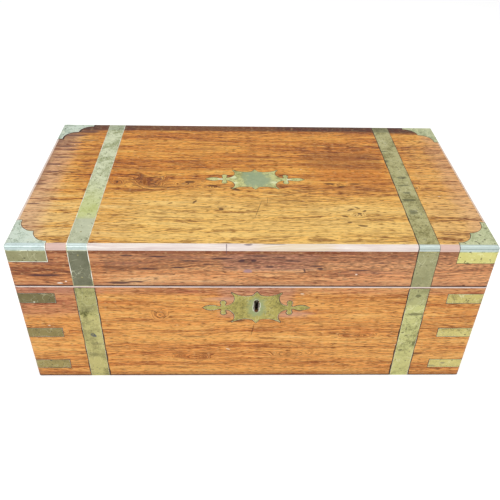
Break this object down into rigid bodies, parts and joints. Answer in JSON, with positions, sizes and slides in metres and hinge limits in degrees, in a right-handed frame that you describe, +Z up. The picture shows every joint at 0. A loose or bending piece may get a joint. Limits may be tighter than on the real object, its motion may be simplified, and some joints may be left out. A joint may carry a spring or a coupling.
{
  "type": "writing box",
  "caption": "Brass-bound hardwood writing box cut on a slant, with a lid that folds back to make a sloping desk, a lock, side handles and fitted pen and ink space.",
  "frame": {"origin": "middle of the underside that the closed box stands on", "axes": "+X along the width to the right of someone facing the lock, +Y from the lock side to the hinge side, +Z up"},
  "size_m": [0.46, 0.2548, 0.177],
  "materials": {
    "case_wood": "waxed, worn hardwood with dark pores",
    "inner_wood": "dull unpolished hardwood",
    "aged_brass": "aged, dull greenish brass",
    "writing_leather": "worn dark red writing leather",
    "ink_glass": "clear pressed glass",
    "spring_steel": "blued spring steel"
  },
  "bodies": {
    "base": {"base_front": "case_wood", "base_back": "case_wood", "base_left": "case_wood", "base_right": "case_wood", "base_bottom": "inner_wood", "tray_divider": "inner_wood", "tray_shelf": "inner_wood", "base_bearers": "inner_wood", "pen_tray": "inner_wood", "inkwell_left": "ink_glass", "inkwell_right": "ink_glass", "lock_case": "aged_brass", "lock_cap": "aged_brass", "lock_spring": "spring_steel", "escutcheon": "aged_brass", "base_strap_left": "aged_brass", "base_strap_right": "aged_brass", "base_back_straps": "aged_brass", "base_corner_straps": "aged_brass", "base_strap_pins": "aged_brass", "base_hinge_leaves": "aged_brass", "hinge_pins": "aged_brass", "base_screws": "aged_brass", "handle_plate_left": "aged_brass", "handle_plate_right": "aged_brass", "base_flap_fixed_leaves": "aged_brass", "base_flap_pins": "aged_brass"},
    "lid": {"lid_top": "case_wood", "lid_front": "case_wood", "lid_back": "case_wood", "lid_left": "case_wood", "lid_right": "case_wood", "lid_bearers": "inner_wood", "lid_flap_fixed_leaves": "aged_brass", "lid_flap_pins": "aged_brass", "lid_hinge_leaves": "aged_brass", "link_plate": "aged_brass", "lid_screws": "aged_brass", "cartouche": "aged_brass", "lid_strap_left": "aged_brass", "lid_strap_right": "aged_brass", "lid_strap_pins": "aged_brass", "lid_corner_front_left": "aged_brass", "lid_corner_front_right": "aged_brass", "lid_corner_back_left": "aged_brass", "lid_corner_back_right": "aged_brass"},
    "base_flap": {"base_flap": "inner_wood", "base_flap_leather": "writing_leather", "base_flap_tab": "writing_leather", "base_flap_moving_leaves": "aged_brass"},
    "lid_flap": {"lid_flap": "inner_wood", "lid_flap_leather": "writing_leather", "lid_flap_moving_leaves": "aged_brass"},
    "lid_catch": {"lid_flap_catch": "aged_brass"},
    "left_bail": {"handle_bail_left": "aged_brass"},
    "right_bail": {"handle_bail_right": "aged_brass"},
    "left_ink_cap": {"inkwell_cap_left": "aged_brass"},
    "right_ink_cap": {"inkwell_cap_right": "aged_brass"},
    "bolt": {"lock_bolt": "aged_brass"},
    "lever": {"lock_lever": "aged_brass"}
  },
  "joints": [
    {"name": "lid_hinge", "type": "hinge", "parent": "base", "child": "lid", "pos_m": [0, 0.1262, 0.0885], "axis": [-1, 0, 0], "range_deg": [0, 180]},
    {"name": "base_flap_hinge", "type": "hinge", "parent": "base", "child": "base_flap", "pos_m": [0, 0.1127, 0.08831], "axis": [-1, 0, 0], "range_deg": [0, 75]},
    {"name": "lid_flap_hinge", "type": "hinge", "parent": "lid", "child": "lid_flap", "pos_m": [0, 0.1127, 0.09296], "axis": [1, 0, 0], "range_deg": [0, 75]},
    {"name": "lid_flap_catch", "type": "slide", "parent": "lid_flap", "child": "lid_catch", "axis": [0, -0.9877, 0.1563], "range_m": [0, 0.004]},
    {"name": "left_handle", "type": "hinge", "parent": "base", "child": "left_bail", "pos_m": [-0.2269, 0, 0.067], "axis": [0, 1, 0], "range_deg": [0, 90]},
    {"name": "right_handle", "type": "hinge", "parent": "base", "child": "right_bail", "pos_m": [0.2269, 0, 0.067], "axis": [0, -1, 0], "range_deg": [0, 90]},
    {"name": "left_ink_cap_turn", "type": "hinge", "parent": "base", "child": "left_ink_cap", "pos_m": [-0.1955, -0.09, 0.06095], "axis": [0, 0, 1], "continuous": true},
    {"name": "right_ink_cap_turn", "type": "hinge", "parent": "base", "child": "right_ink_cap", "pos_m": [0.1955, -0.09, 0.06095], "axis": [0, 0, 1], "continuous": true},
    {"name": "lock_bolt", "type": "slide", "parent": "base", "child": "bolt", "axis": [1, 0, 0], "range_m": [0, 0.0045]},
    {"name": "lock_lever", "type": "hinge", "parent": "base", "child": "lever", "pos_m": [-0.0144, -0.118, 0.10305], "axis": [0, -1, 0], "range_deg": [0, 5], "stiffness_Nm_per_rad": 0.01, "springref_deg": -17.19, "deforming": ["lock_spring"]}
  ],
  "couplings": [
    {"joint": "base_flap_hinge", "follows": "lid_hinge", "ratio": 0.41667},
    {"joint": "lid_flap_hinge", "follows": "lid_hinge", "ratio": 0.41667}
  ]
}
